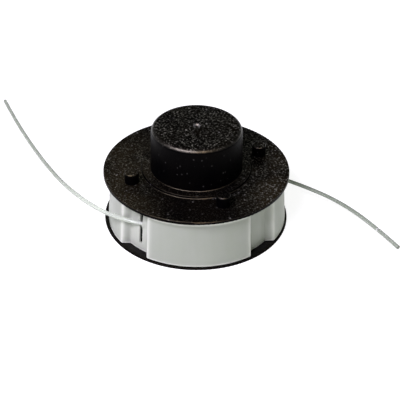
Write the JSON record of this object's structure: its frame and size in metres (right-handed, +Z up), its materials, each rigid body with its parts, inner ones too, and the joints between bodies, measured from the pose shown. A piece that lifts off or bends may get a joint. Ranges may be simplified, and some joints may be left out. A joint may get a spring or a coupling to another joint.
{
  "type": "trimmer line spool",
  "caption": "Flanged black spool with a closed bump knob and upright pegs, wound with trimmer line whose free ends leave through slits in a pale corrugated retaining band.",
  "frame": {"origin": "centre of the lower flange's underside, on the spool's axis", "axes": "+Z up along the spool's axis towards the bump knob; -Y is the picture's front; +X is to its right"},
  "size_m": [0.208, 0.1323, 0.053],
  "materials": {
    "spool_black": "fine spark texture, slight sheen",
    "band_natural": "natural translucent white, smooth",
    "line_clear": "clear grey-white extruded line, satin"
  },
  "bodies": {
    "spool": {"spool_body": "spool_black", "lower_line_winding": "line_clear", "upper_line_winding": "line_clear"},
    "band": {"retaining_band": "band_natural", "lower_line_end": "line_clear", "upper_line_end": "line_clear"}
  },
  "joints": [
    {"name": "band_turn", "type": "hinge", "parent": "spool", "child": "band", "pos_m": [0, 0, 0.014], "axis": [0, 0, 1], "range_deg": [-150, 7290]}
  ]
}
